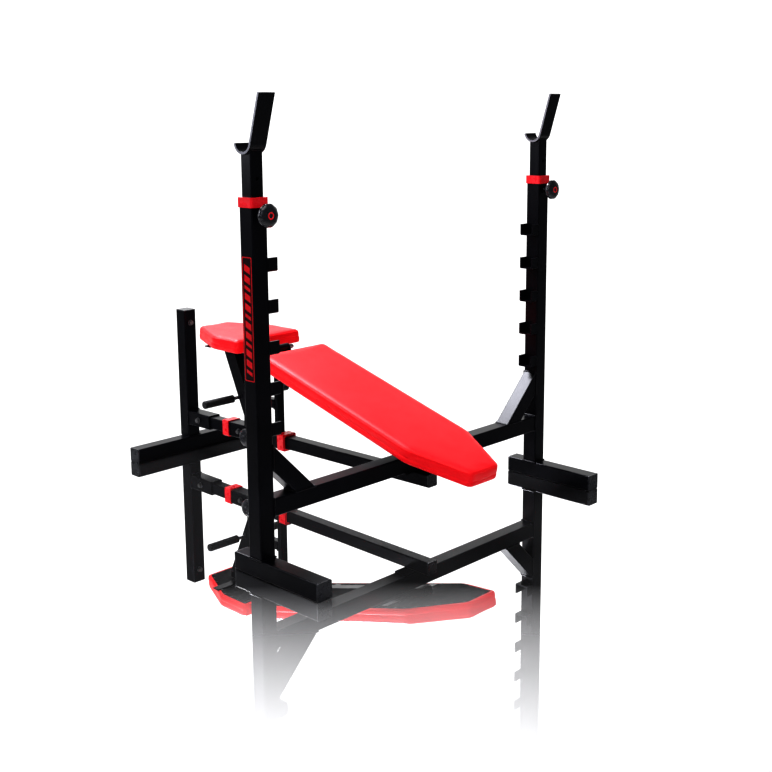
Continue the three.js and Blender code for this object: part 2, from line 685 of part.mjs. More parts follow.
// Bolt through the hinge with a washer, head and lock nut outside the knuckle plates.
function hingePin(pin, plateOut) {
  const side = (s) => [
    rodX(10, ...[s * (plateOut + GAP), s * (plateOut + 2.5)].sort((a, b) => a - b), pin.x, pin.y, 24),
    rodX(9, ...[s * (plateOut + 2.4), s * (PIN_HALF - 6)].sort((a, b) => a - b), pin.x, pin.y, 6),
  ];
  const shaft = rodX(PIN_RADIUS, -PIN_HALF, PIN_HALF, pin.x, pin.y, 24);
  return join(shaft, ...side(-1), ...side(1));
}

rackSide('left', -1);
rackSide('right', 1);
rackPost('left', -1);
rackPost('right', 1);
baseFrame();
carriage();
backrest();

export default bench;
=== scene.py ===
"""Looks of the olympic bench press: sewn and stapled pads, moulded knobs and grips, weld beads, materials,
studio light and camera. Metres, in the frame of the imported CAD."""

import bpy
import bmesh
import json
import math
from mathutils import Matrix, Vector, noise
from mathutils.bvhtree import BVHTree


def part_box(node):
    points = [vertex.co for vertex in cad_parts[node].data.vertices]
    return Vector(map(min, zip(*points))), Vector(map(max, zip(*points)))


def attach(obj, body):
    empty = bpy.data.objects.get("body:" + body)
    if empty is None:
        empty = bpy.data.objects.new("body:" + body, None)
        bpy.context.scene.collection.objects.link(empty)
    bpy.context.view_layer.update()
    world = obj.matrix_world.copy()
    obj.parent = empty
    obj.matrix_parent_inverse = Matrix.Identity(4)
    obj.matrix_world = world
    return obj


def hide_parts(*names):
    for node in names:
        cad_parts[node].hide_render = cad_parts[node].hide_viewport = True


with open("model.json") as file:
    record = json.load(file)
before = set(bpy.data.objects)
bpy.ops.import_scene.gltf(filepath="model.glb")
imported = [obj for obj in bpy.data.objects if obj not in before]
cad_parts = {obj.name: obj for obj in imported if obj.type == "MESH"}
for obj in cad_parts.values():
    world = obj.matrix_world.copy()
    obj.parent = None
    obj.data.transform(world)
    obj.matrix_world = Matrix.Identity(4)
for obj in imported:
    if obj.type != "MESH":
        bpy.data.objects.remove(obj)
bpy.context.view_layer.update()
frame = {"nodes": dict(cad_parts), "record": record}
MM = 0.001

# Driving sizes of the pieces made here.
PAD_VOXEL = 5 * MM
PAD_SHRINK = 1.5 * MM
SEAT_SWELL = 1.3 * MM
BACK_SWELL = 1.3 * MM
SIDE_PULL = 1.2 * MM
TOP_CROWN = 2.2 * MM
CLOTH_FRAMES = 20
SEAM_INSET = 5.5 * MM
SEAM_RADIUS = 1.3 * MM
STITCH_INSET = 11 * MM
STITCH_PITCH = 5 * MM
STAPLE_INSET = 17.5 * MM
STAPLE_PITCH = 38 * MM
WELD_RADIUS = 2.4 * MM
WELD_PITCH = 3.2 * MM
WELD_RIPPLE = 0.18
SHORT_RIPPLE = 0.2
BRACE_MITRE = 70.7 * MM
HOOK_OUTER = 33 * MM
HOOK_LIP = math.radians(11)
CATCHES = 5
KNOB_HEIGHT = 46 * MM
KNOB_LOBES = 10
GRIP_RIB_PITCH = 5 * MM
BADGE_WIDTH = 38 * MM
BADGE_TOP = 0.857
BADGE_BOTTOM = 0.534
BADGE_RIM = 2.6 * MM
BADGE_LEAN = 9 * MM


# Node materials -----------------------------------------------------------------------------------

class Material:
    """A node material with a Principled shader, and short calls for the nodes that feed it."""

    def __init__(self, name, **values):
        self.block = bpy.data.materials.new(name)
        self.block.use_nodes = True
        self.tree = self.block.node_tree
        self.shader = self.tree.nodes["Principled BSDF"]
        for key, value in values.items():
            self.shader.inputs[key.replace("_", " ")].default_value = value
        self.coords = self.tree.nodes.new("ShaderNodeTexCoord").outputs["Object"]

    def node(self, kind, values=None, **attributes):
        node = self.tree.nodes.new(kind)
        for key, value in attributes.items():
            setattr(node, key, value)
        for key, value in (values or {}).items():
            if isinstance(value, bpy.types.NodeSocket):
                self.tree.links.new(value, node.inputs[key])
            else:
                node.inputs[key].default_value = value
        return node

    def noise(self, scale, detail=3.0, roughness=0.55, stretch=None):
        vector = self.coords
        if stretch:
            vector = self.node("ShaderNodeMapping", {"Vector": vector, "Scale": stretch}).outputs[0]
        values = {"Vector": vector, "Scale": scale, "Detail": detail, "Roughness": roughness}
        return self.node("ShaderNodeTexNoise", values).outputs["Fac"]

    def cells(self, scale, feature="F1"):
        values = {"Vector": self.coords, "Scale": scale}
        return self.node("ShaderNodeTexVoronoi", values, feature=feature).outputs["Distance"]

    def spread(self, factor, low, high, start=0.3, end=0.7):
        values = {"Value": factor, "From Min": start, "From Max": end, "To Min": low, "To Max": high}
        return self.node("ShaderNodeMapRange", values).outputs["Result"]

    def blend(self, factor, first, second):
        mix = self.tree.nodes.new("ShaderNodeMix")
        mix.data_type = "RGBA"
        for socket, value in ((mix.inputs[0], factor), (mix.inputs[6], first), (mix.inputs[7], second)):
            if isinstance(value, bpy.types.NodeSocket):
                self.tree.links.new(value, socket)
            else:
                socket.default_value = value if isinstance(value, float) else (*value, 1.0)
        return mix.outputs[2]

    def feed(self, name, socket):
        self.tree.links.new(socket, self.shader.inputs[name])

    def bump(self, height, strength, distance, under=None):
        values = {"Height": height, "Strength": strength, "Distance": distance}
        if under is not None:
            values["Normal"] = under
        return self.node("ShaderNodeBump", values).outputs["Normal"]

    def edges(self, width, start, end):
        """1 along convex edges, 0 on flat faces: the bent normal of a small bevel against the true one."""
        bevel = self.node("ShaderNodeBevel", {"Radius": width}, samples=4).outputs[0]
        normal = self.node("ShaderNodeNewGeometry").outputs["Normal"]
        product = self.node("ShaderNodeVectorMath", {0: bevel, 1: normal}, operation="DOT_PRODUCT")
        return self.spread(product.outputs["Value"], 1.0, 0.0, start, end)


def powder_coat(name="powder_coat", painted_side_highlight=False):
    """Black paint, rubbed along the edges; with the flag set, the faces that look along X are paled, a
    painted highlight.
    """
    m = Material(name, Specular_IOR_Level=0.14)
    cloudy = m.noise(7, 4)
    peel = m.noise(900, 2)
    worn = m.edges(0.0016, 0.93, 0.999)
    scuffs = m.spread(m.noise(55, 6, 0.7), 0.0, 1.0, 0.5, 0.72)
    rubbed = m.node("ShaderNodeMath", {0: worn, 1: scuffs}, operation="MULTIPLY").outputs[0]
    coat = m.blend(m.spread(cloudy, 0.0, 1.0), (0.0018, 0.0019, 0.0032), (0.0036, 0.0038, 0.0064))
    colour = m.blend(rubbed, coat, (0.030, 0.030, 0.036))
    # Painted highlight: the faces that look along X are paled to grey-lavender in the colour, in place of the
    # glint they catch.
    if painted_side_highlight:
        normal = m.node("ShaderNodeNewGeometry").outputs["Normal"]
        across = m.node("ShaderNodeSeparateXYZ", {0: normal}).outputs["X"]
        sideways = m.node("ShaderNodeMath", {0: across}, operation="ABSOLUTE").outputs[0]
        edge = m.spread(sideways, 0.0, 1.0, 0.55, 0.9)
        colour = m.blend(edge, colour, (0.20, 0.20, 0.23))
    m.feed("Base Color", colour)
    m.feed("Roughness", m.spread(m.noise(12, 3), 0.28, 0.33))
    m.feed("Normal", m.bump(peel, 0.035, 0.0004))
    return m.block


def glossy_nylon():
    m = Material("glossy_red_nylon", Specular_IOR_Level=0.3, Coat_Weight=0.08, Coat_Roughness=0.12)
    flow = m.noise(26, 3, 0.5, stretch=(1, 1, 3))
    m.feed("Base Color", m.blend(m.spread(flow, 0.0, 1.0), (0.72, 0.009, 0.018), (0.84, 0.016, 0.03)))
    m.feed("Roughness", m.spread(m.noise(60, 4), 0.22, 0.36))
    m.feed("Normal", m.bump(m.noise(420, 2), 0.05, 0.0004))
    return m.block


def moulded_plastic():
    m = Material("moulded_black_plastic", Specular_IOR_Level=0.5)
    grain = m.cells(1700)
    tone = m.spread(m.noise(18, 4), 0.0, 1.0)
    m.feed("Base Color", m.blend(tone, (0.005, 0.0055, 0.008), (0.011, 0.0121, 0.0176)))
    m.feed("Roughness", m.spread(m.noise(90, 4), 0.24, 0.36))
    m.feed("Normal", m.bump(grain, 0.12, 0.0003))
    return m.block


def vinyl():
    m = Material("red_vinyl", Specular_IOR_Level=0.15)
    pebble = m.cells(640, "SMOOTH_F1")
    pores = m.noise(2300, 2)
    wear = m.noise(5, 5, 0.6)
    grain = m.node("ShaderNodeMath", {0: pebble, 1: pores}, operation="ADD").outputs[0]
    red = m.blend(m.spread(wear, 0.0, 1.0), (0.84, 0.006, 0.013), (0.93, 0.011, 0.020))
    m.feed("Base Color", m.blend(m.spread(pebble, 0.18, 0.0, 0.0, 0.5), red, (0.60, 0.004, 0.012)))
    m.feed("Roughness", m.spread(m.noise(14, 5), 0.36, 0.48))
    soft = m.bump(m.noise(9, 3), 0.10, 0.004)
    m.feed("Normal", m.bump(grain, 0.22, 0.0006, soft))
    return m.block


def stained_ply():
    m = Material("stained_ply", Specular_IOR_Level=0.25)
    grain = m.noise(60, 6, 0.65, stretch=(6, 0.4, 6))
    m.feed("Base Color", m.blend(m.spread(grain, 0.0, 1.0), (0.008, 0.007, 0.006), (0.028, 0.022, 0.018)))
    m.feed("Roughness", m.spread(grain, 0.62, 0.85))
    m.feed("Normal", m.bump(grain, 0.35, 0.0008))
    return m.block


def zinc():
    m = Material("zinc_plate", Metallic=1.0)
    brushed = m.noise(240, 4, 0.6, stretch=(1, 1, 5))
    m.feed("Base Color", m.blend(m.spread(m.noise(40, 4), 0.0, 1.0), (0.13, 0.13, 0.14), (0.26, 0.26, 0.26)))
    m.feed("Roughness", m.spread(brushed, 0.22, 0.40))
    m.feed("Normal", m.bump(brushed, 0.10, 0.0003))
    return m.block


def chrome():
    m = Material("chrome", Metallic=1.0)
    m.feed("Base Color", m.blend(m.noise(30, 3), (0.62, 0.62, 0.64), (0.78, 0.78, 0.80)))
    m.feed("Roughness", m.spread(m.noise(320, 3, 0.6, stretch=(1, 6, 6)), 0.06, 0.16))
    m.feed("Normal", m.bump(m.noise(700, 2), 0.03, 0.0002))
    return m.block


def rubber():
    m = Material("black_rubber", Specular_IOR_Level=0.22, Sheen_Weight=0.04)
    tone = m.noise(45, 5, 0.6)
    m.feed("Base Color", m.blend(m.spread(tone, 0.0, 1.0), (0.003, 0.003, 0.0035), (0.008, 0.008, 0.009)))
    m.feed("Roughness", m.spread(m.noise(120, 4), 0.5, 0.72))
    m.feed("Normal", m.bump(m.cells(1500), 0.25, 0.0004))
    return m.block


def dust_cover():
    m = Material("black_dust_cover", Specular_IOR_Level=0.12)
    weave = m.noise(1300, 3, 0.7)
    m.feed("Base Color", m.blend(weave, (0.004, 0.004, 0.005), (0.014, 0.014, 0.015)))
    m.feed("Roughness", m.spread(m.noise(40, 4), 0.75, 0.95))
    m.feed("Normal", m.bump(weave, 0.4, 0.0004))
    return m.block


def printed(name, dark, light):
    m = Material(name, Specular_IOR_Level=0.16)
    m.feed("Base Color", m.blend(m.spread(m.noise(90, 4), 0.0, 1.0), dark, light))
    m.feed("Roughness", m.spread(m.noise(200, 3), 0.28, 0.42))
    m.feed("Normal", m.bump(m.noise(600, 2), 0.05, 0.0002))
    return m.block


LOOKS = {
    "painted_tube": powder_coat(),
    "red_plastic": glossy_nylon(),
    "black_plastic": moulded_plastic(),
    "red_vinyl": vinyl(),
    "board": stained_ply(),
    "zinc_steel": zinc(),
    "chrome_rod": chrome(),
    "grip_rubber": rubber(),
}
DUST_COVER = dust_cover()
# The hooks get the coat with the painted highlight on the faces that look along X.
HOOK_COAT = powder_coat("powder_coat_cut_edges", painted_side_highlight=True)
THREAD = printed("red_thread", (0.50, 0.006, 0.014), (0.66, 0.012, 0.022))
PRINT_RED = printed("badge_red", (0.50, 0.004, 0.010), (0.64, 0.007, 0.015))
PRINT_DARK = printed("badge_dark", (0.008, 0.002, 0.003), (0.016, 0.003, 0.004))

for row in frame["record"]["subparts"]:
    node = frame["nodes"][row["node"]]
    node.data.materials.clear()
    node.data.materials.append(HOOK_COAT if row["node"].endswith("_hook") else LOOKS[row["material_slot"]])


# Mesh helpers -------------------------------------------------------------------------------------

def piece(name, mesh_or_bmesh, look, body, smooth=35):
    """Adds a mesh object, gives it its material, and puts it on its body."""
    if isinstance(mesh_or_bmesh, bmesh.types.BMesh):
        mesh = bpy.data.meshes.new(name)
        bmesh.ops.recalc_face_normals(mesh_or_bmesh, faces=mesh_or_bmesh.faces[:])
        mesh_or_bmesh.to_mesh(mesh)
        mesh_or_bmesh.free()
    else:
        mesh = mesh_or_bmesh
    obj = bpy.data.objects.new(name, mesh)
    bpy.context.scene.collection.objects.link(obj)
    mesh.materials.clear()
    mesh.materials.append(look)
    if smooth:
        mesh.shade_smooth()
        mesh.set_sharp_from_angle(angle=math.radians(smooth))
    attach(obj, body)
    return obj


def skin(bm, rings, closed=False):
    """Joins rings of vertices into a tube; a closed tube's last ring meets its first, others are capped."""
    rows = [[bm.verts.new(p) for p in ring] for ring in rings]
    count = len(rows[0])
    spans = list(zip(rows, rows[1:])) + ([(rows[-1], rows[0])] if closed else [])
    for low, high in spans:
        for i in range(count):
            j = (i + 1) % count
            bm.faces.new((low[i], low[j], high[j], high[i]))
    if not closed:
        bm.faces.new(rows[0][::-1])
        bm.faces.new(rows[-1])


def resample(points, step, closed=False):
    """Evenly spaced points along a polyline."""
    points = [Vector(p) for p in points] + ([Vector(points[0])] if closed else [])
    lengths = [(b - a).length for a, b in zip(points, points[1:])]
    total = sum(lengths)
    count = max(int(round(total / step)), 3)
    out, leg, passed = [], 0, 0.0
    for i in range(count if closed else count + 1):
        s = total * i / count
        while leg < len(lengths) - 1 and passed + lengths[leg] < s:
            passed += lengths[leg]
            leg += 1
        t = (s - passed) / max(lengths[leg], 1e-9)
        out.append(points[leg].lerp(points[leg + 1], min(t, 1.0)))
    return out


def bead(bm, points, radius, closed=False, ripple=0.0, sides=8, step=None):
    """A tube along a path. With ripple its radius rises and falls like the scales of a weld."""
    path = resample(points, step or radius * 0.8, closed)
    rings, last = [], len(path) - 1
    side = None
    for i, p in enumerate(path):
        ahead = path[(i + 1) % len(path)] if closed or i < last else p
        back = path[i - 1] if closed or i > 0 else p
        way = (ahead - back).normalized()
        if side is None:
            side = way.orthogonal().normalized()
        side = (side - way * side.dot(way)).normalized()
        up = way.cross(side)
        swell = 1 + ripple * math.sin(i * 2 * math.pi * radius * 0.8 / WELD_PITCH)
        swell *= 1 + ripple * 0.6 * noise.noise(p * 260)
        r = radius * swell * (1.0 if closed or 0 < i < last else 0.45)
        turn = [2 * math.pi * k / sides for k in range(sides)]
        rings.append([p + side * (r * math.cos(a)) + up * (r * math.sin(a)) for a in turn])
    skin(bm, rings, closed)


def lathe(bm, profile, place, steps=64, wave=None):
    """Turns (radius, height) pairs about +Z, then moves them with place; wave(angle, radius) scales."""
    rings = []
    for r, h in profile:
        ring = []
        for k in range(steps):
            a = 2 * math.pi * k / steps
            s = wave(a, r) if wave else 1.0
            ring.append(place @ Vector((r * s * math.cos(a), r * s * math.sin(a), h)))
        rings.append(ring)
    skin(bm, rings)


def facing(centre, direction):
    """Matrix that takes +Z to a direction at a point."""
    turn = Vector(direction).to_track_quat("Z", "Y").to_matrix().to_4x4()
    return Matrix.Translation(centre) @ turn


def middle(node):
    low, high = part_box(node)
    return (low + high) / 2


# Weld beads ---------------------------------------------------------------------------------------

def loop_z(low, high, z, grow=0.6 * MM):
    """Rectangle round a tube standing on a level face."""
    x0, x1, y0, y1 = low.x - grow, high.x + grow, low.y - grow, high.y + grow
    return [(x0, y0, z), (x1, y0, z), (x1, y1, z), (x0, y1, z)]


def loop_x(low, high, x, grow=0.6 * MM):
    y0, y1, z0, z1 = low.y - grow, high.y + grow, low.z - grow, high.z + grow
    return [(x, y0, z0), (x, y1, z0), (x, y1, z1), (x, y0, z1)]


def loop_y(low, high, y, grow=0.6 * MM):
    x0, x1, z0, z1 = low.x - grow, high.x + grow, low.z - grow, high.z + grow
    return [(x0, y, z0), (x1, y, z0), (x1, y, z1), (x0, y, z1)]


def frame_welds():
    bm = bmesh.new()
    cross_low, cross_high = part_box("crossbar")
    for side in ("left", "right"):
        sign = -1 if side == "left" else 1
        low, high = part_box(f"{side}_upright")
        low = Vector((low.x, high.y - (high.x - low.x), low.z))
        bead(bm, loop_z(low, high, low.z), WELD_RADIUS, True, WELD_RIPPLE)
        x = cross_high.x if sign > 0 else cross_low.x
        bead(bm, loop_x(cross_low, cross_high, x), WELD_RADIUS, True, WELD_RIPPLE)
        b_low, b_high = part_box(f"{side}_brace")
        inner, outer = (b_low.x, b_high.x) if sign > 0 else (b_high.x, b_low.x)
        drop = BRACE_MITRE * sign
        foot = [(inner, b_low.y, b_low.z), (inner + drop, b_low.y, b_low.z),
                (inner + drop, b_high.y, b_low.z), (inner, b_high.y, b_low.z)]
        head = [(outer, b_low.y, b_high.z), (outer, b_low.y, b_high.z - abs(drop)),
                (outer, b_high.y, b_high.z - abs(drop)), (outer, b_high.y, b_high.z)]
        bead(bm, foot, WELD_RADIUS, True, WELD_RIPPLE)
        bead(bm, head, WELD_RADIUS, True, WELD_RIPPLE)
        for i in range(1, CATCHES + 1):
            c_low, c_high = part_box(f"{side}_catch_{i}")
            wall = c_high.x if sign > 0 else c_low.x
            under = [(wall, c_low.y + 4 * MM, c_low.z), (wall, c_high.y - 4 * MM, c_low.z)]
            bead(bm, under, 1.7 * MM, False, SHORT_RIPPLE)
            for y in (c_low.y + 0.6 * MM, c_high.y - 0.6 * MM):
                lip = [(wall, y, c_low.z + 5 * MM), (wall, y, c_high.z - 2 * MM)]
                bead(bm, lip, 1.5 * MM, False, SHORT_RIPPLE)
    s_low, s_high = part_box("beam_saddle")
    bead(bm, loop_z(s_low, s_high, s_high.z, -0.6 * MM), 1.6 * MM, True, SHORT_RIPPLE)
    beam_low, beam_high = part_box("central_beam")
    for x in (beam_low.x, beam_high.x):
        line = [(x, s_low.y + 2 * MM, s_low.z), (x, s_high.y - 2 * MM, s_low.z)]
        bead(bm, line, 1.9 * MM, False, SHORT_RIPPLE)
    p_low, p_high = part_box("rear_post")
    f_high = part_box("rear_foot")[1]
    rear_edge = min(p_high.y, f_high.y - 1 * MM)
    bead(bm, loop_z(p_low, Vector((p_high.x, rear_edge, p_high.z)), p_low.z), WELD_RADIUS, True, WELD_RIPPLE)
    k_low, k_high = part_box("rear_socket")
    drop = 0.6 * MM
    face = [(k_low.x, k_high.y, k_low.z + drop), (k_high.x, k_high.y, k_low.z + drop),
            (k_high.x, k_high.y, k_high.z - 3 * drop), (k_low.x, k_high.y, k_high.z - 3 * drop)]
    bead(bm, face, WELD_RADIUS, True, WELD_RIPPLE)
    piece("frame_welds", bm, LOOKS["painted_tube"], "frame", 60)


def carriage_welds():
    bm = bmesh.new()
    strut_low, strut_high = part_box("seat_strut")
    post_low, post_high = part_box("seat_front_post")
    depth = strut_high.x - strut_low.x
    toe = Vector((strut_high.x, strut_low.y + depth, strut_high.z))
    bead(bm, loop_z(strut_low, toe, strut_low.z), WELD_RADIUS, True, WELD_RIPPLE)
    heel = Vector((strut_low.x, strut_high.y - depth * 1.1, strut_low.z))
    bead(bm, loop_z(heel, strut_high, strut_high.z, 0), 2 * MM, True, WELD_RIPPLE)
    bead(bm, loop_z(post_low, post_high, post_low.z), 2 * MM, True, WELD_RIPPLE)
    bead(bm, loop_z(post_low, post_high, post_high.z), 2 * MM, True, WELD_RIPPLE)
    tie_low, tie_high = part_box("seat_tie")
    bead(bm, loop_y(tie_low, tie_high, tie_low.y), 1.8 * MM, True, WELD_RIPPLE)
    rod_low, rod_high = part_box("foot_hold_rod")
    rod = (rod_low + rod_high) / 2
    radius = (rod_high.z - rod_low.z) / 2 + 1 * MM
    for x in (strut_low.x, strut_high.x):
        turn = [2 * math.pi * k / 20 for k in range(20)]
        ring = [(x, rod.y + radius * math.cos(a), rod.z + radius * math.sin(a)) for a in turn]
        bead(bm, ring, 1.8 * MM, True, SHORT_RIPPLE)
    piece("carriage_welds", bm, LOOKS["painted_tube"], "carriage", 60)


def hook_welds(side):
    """Beads along the saddle-shaped joint between the post's top and the hook's round bottom."""
    bm = bmesh.new()
    low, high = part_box(f"{side}_post")
    h_low, h_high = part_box(f"{side}_hook")
    centre = h_low.z + HOOK_OUTER
    axis = h_high.y - HOOK_OUTER * math.cos(HOOK_LIP)

    def under(y):
        return centre - math.sqrt(HOOK_OUTER ** 2 - (y - axis) ** 2)

    ys = [low.y + (high.y - low.y) * k / 14 for k in range(15)]
    ys = [y for y in ys if abs(y - axis) < HOOK_OUTER * 0.95]
    for x in (low.x - 0.4 * MM, high.x + 0.4 * MM):
        bead(bm, [(x, y, under(y)) for y in ys], 2.2 * MM, False, SHORT_RIPPLE)
    for y in (ys[0], ys[-1]):
        bead(bm, [(low.x, y, under(y)), (high.x, y, under(y))], 2.0 * MM, False, SHORT_RIPPLE)
    piece(f"{side}_hook_weld", bm, LOOKS["painted_tube"], f"{side}_rack", 60)


# Knobs --------------------------------------------------------------------------------------------

# Profiles in millimetres, (radius, height above the tube's face).
KNOB_HEAD = [(9.5, 20.6), (15, 20.9), (19, 22), (24.5, 24.2), (28.4, 27.2), (30.4, 30.2), (31, 33.2),
             (30.9, 36.2), (29.8, 38.8), (27.4, 41.2), (23.5, 43.4), (18.5, 45), (13.4, 45.8),
             (10.6, 46), (9.9, 45.6), (9.7, 44.6), (5, 44.6), (0.5, 44.6)]
KNOB_NECK = [(7.5, 12.4), (10.8, 12.6), (11.6, 13.4), (11.2, 15), (10.2, 17), (10.2, 21.5)]
KNOB_RING = [(9.6, 44.4), (9.5, 45.7), (8.9, 46.2), (6.9, 46.2), (6.2, 45.6), (6.1, 44.5)]
KNOB_PLUG = [(6.3, 44.5), (6.1, 45.1), (5.3, 45.5), (2.8, 45.2), (0.4, 45.1)]
KNOB_STUD = [(0.4, -4.6), (3.6, -4.5), (4.6, -3.4), (4.7, 0.5), (4.7, 12.3), (8.6, 12.35), (9.2, 12.9),
             (9.2, 13.9), (8.2, 14.4), (5, 14.5), (0.4, 14.5)]


def knob(node, body, direction, ring):
    """A lobed, domed knob with a ring let into its face and a steel pull stud, in place of its CAD solid."""
    low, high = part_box(node)
    way = Vector(direction)
    face = middle(node)
    axis = max(range(3), key=lambda i: abs(way[i]))
    face[axis] = (low if way[axis] < 0 else high)[axis]
    base = face - way * KNOB_HEIGHT
    place = facing(base, direction)

    def lobes(angle, radius):
        grip = max(0.0, min(1.0, (radius - 20 * MM) / (9 * MM)))
        return 1 - 0.035 * grip * (0.5 - 0.5 * math.cos(KNOB_LOBES * angle)) ** 1.4

    def profile(pairs):
        return [(r * MM, h * MM) for r, h in pairs]

    bm = bmesh.new()
    lathe(bm, profile(KNOB_HEAD), place, 108, lobes)
    lathe(bm, profile(KNOB_NECK), place, 48)
    head = piece(f"{node}_head", bm, LOOKS["black_plastic"], body, 40)
    bm = bmesh.new()
    lathe(bm, profile(KNOB_RING), place, 64)
    piece(f"{node}_ring", bm, LOOKS[ring], body, 30)
    bm = bmesh.new()
    lathe(bm, profile(KNOB_PLUG), place, 64)
    piece(f"{node}_plug", bm, LOOKS["black_plastic"], body, 30)
    bm = bmesh.new()
    lathe(bm, profile(KNOB_STUD), place, 48)
    piece(f"{node}_stud", bm, LOOKS["zinc_steel"], body, 30)
    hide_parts(node)


# Foot-hold grips ----------------------------------------------------------------------------------

def grip(node, sign):
    """Ribbed rubber sleeve with a flange at the inner end and a closed, rounded outer end."""
    low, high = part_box(node)
    centre = (low + high) / 2
    radius = (high.z - low.z) / 2
    inner, outer = (low.x, high.x) if sign > 0 else (high.x, low.x)
    length = abs(outer - inner)
    place = facing(Vector((inner, centre.y, centre.z)), (sign, 0, 0))
    profile = [(6.4 * MM, 0), (radius * 0.93, 0), (radius, 1.2 * MM), (radius, 4 * MM),
               (radius * 0.94, 5.2 * MM)]
    h = 8 * MM
    while h < length - 14 * MM:
        profile += [(radius * 0.93, h), (radius * 0.985, h + 0.8 * MM), (radius * 0.985, h + 2.6 * MM),
                    (radius * 0.93, h + 3.4 * MM)]
        h += GRIP_RIB_PITCH
    profile += [(radius * 0.94, length - 11 * MM), (radius, length - 10 * MM), (radius, length - 4 * MM),
                (radius * 0.93, length - 1.4 * MM), (radius * 0.75, length - 0.2 * MM),
                (radius * 0.45, length), (0.4 * MM, length)]
    bm = bmesh.new()
    lathe(bm, profile, place, 56)
    sleeve = piece(f"{node}_ribbed", bm, LOOKS["grip_rubber"], "carriage", 50)
    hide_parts(node)


# Pads ---------------------------------------------------------------------------------------------

def evaluated(obj):
    """The object's mesh with its modifiers applied."""
    graph = bpy.context.evaluated_depsgraph_get()
    return bpy.data.meshes.new_from_object(obj.evaluated_get(graph), depsgraph=graph)


def loose(name, mesh):
    obj = bpy.data.objects.new(name, mesh)
    bpy.context.scene.collection.objects.link(obj)
    return obj


def smoothed(mesh, rounds):
    bm = bmesh.new()
    bm.from_mesh(mesh)
    for _ in range(rounds):
        bmesh.ops.smooth_vert(bm, verts=bm.verts[:], factor=0.5,
                              use_axis_x=True, use_axis_y=True, use_axis_z=True)
    bm.to_mesh(mesh)
    bm.free()


def extent(points):
    """Lowest and highest corner of a set of points."""
    return (Vector([min(p[i] for p in points) for i in range(3)]),
            Vector([max(p[i] for p in points) for i in range(3)]))


def drawn_in(mesh, low, high):
    """Shrinks a pad by PAD_SHRINK on its sides and top, and remeshes it evenly."""
    centre = (low + high) / 2
    for v in mesh.vertices:
        for axis in range(3):
            half = (high[axis] - low[axis]) / 2
            scale = 1 - PAD_SHRINK / half
            if axis == 2:
                v.co.z = low.z + (v.co.z - low.z) * (1 - PAD_SHRINK / (2 * half))
            else:
                v.co[axis] = centre[axis] + (v.co[axis] - centre[axis]) * scale
    work = loose("work", mesh)
    remesh = work.modifiers.new("remesh", "REMESH")
    remesh.mode = "VOXEL"
    remesh.voxel_size = PAD_VOXEL
    even = evaluated(work)
    smoothed(even, 1)
    bpy.data.objects.remove(work)
    return even


def blown_up(even, bottom, swell):
    """The skin under pressure as cloth, held along its bottom; no point moves further than swell."""
    rest = [v.co.copy() for v in even.vertices]
    soft = loose("soft", even)
    held = soft.vertex_groups.new(name="held")
    for i, p in enumerate(rest):
        if p.z < bottom + 3 * MM:
            held.add([i], 1.0, "REPLACE")
    cloth = soft.modifiers.new("cloth", "CLOTH")
    settings = cloth.settings
    settings.quality = 5
    settings.mass = 0.35
    settings.tension_stiffness = settings.compression_stiffness = 18
    settings.shear_stiffness = 6
    settings.bending_stiffness = 1.5
    settings.use_pressure = True
    settings.uniform_pressure_force = 3.5
    settings.effector_weights.gravity = 0.0
    settings.vertex_group_mass = "held"
    cloth.point_cache.frame_start = 1
    cloth.point_cache.frame_end = CLOTH_FRAMES
    for step in range(1, CLOTH_FRAMES + 1):
        bpy.context.scene.frame_set(step)
    blown = evaluated(soft)
    for v, start in zip(blown.vertices, rest):
        move = v.co - start
        if move.length > swell:
            v.co = start + move.normalized() * swell
    bpy.data.objects.remove(soft)
    bpy.context.scene.frame_set(1)
    return blown


def stuffed(node, name, body, place, swell):
    """A foam pad in its vinyl: the CAD form drawn in, remeshed, blown up as cloth, smoothed and crowned.
    place takes the pad's own level frame to the world."""
    mesh = frame["nodes"][node].data.copy()
    mesh.transform(place.inverted())
    low, high = extent([v.co for v in mesh.vertices])
    cover = drawn_in(mesh, low, high)
    cover = blown_up(cover, low.z, swell)
    smoothed(cover, 3)
    crown(cover, low, high)
    cover.transform(place)
    pad = piece(name, cover, LOOKS["red_vinyl"], body, 0)
    cover.shade_smooth()
    divide = pad.modifiers.new("divide", "SUBSURF")
    divide.levels = divide.render_levels = 1
    pad.data = evaluated(pad)
    pad.modifiers.clear()
    pad.data.name = name
    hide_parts(node)
    return pad


def crown(mesh, low, high):
    """Lifts the middle of the top and draws the long sides in slightly between the corners."""
    centre = (low + high) / 2
    half = (high - low) / 2
    for v in mesh.vertices:
        u = (v.co.x - centre.x) / half.x
        w = (v.co.y - centre.y) / half.y
        rise = max(0.0, (v.co.z - low.z) / (high.z - low.z))
        v.co.z += TOP_CROWN * rise ** 3 * max(0.0, 1 - u * u) * max(0.0, 1 - w ** 4)
        v.co.x -= pulled_in(u, w) * (1 - rise * 0.4)


def pulled_in(u, w):
    """How far the covering draws a long side in, from the place across (u) and along (w) the pad, -1 to 1."""
    return math.copysign(SIDE_PULL, u) * min(1.0, u * u) * max(0.0, 1 - w * w)


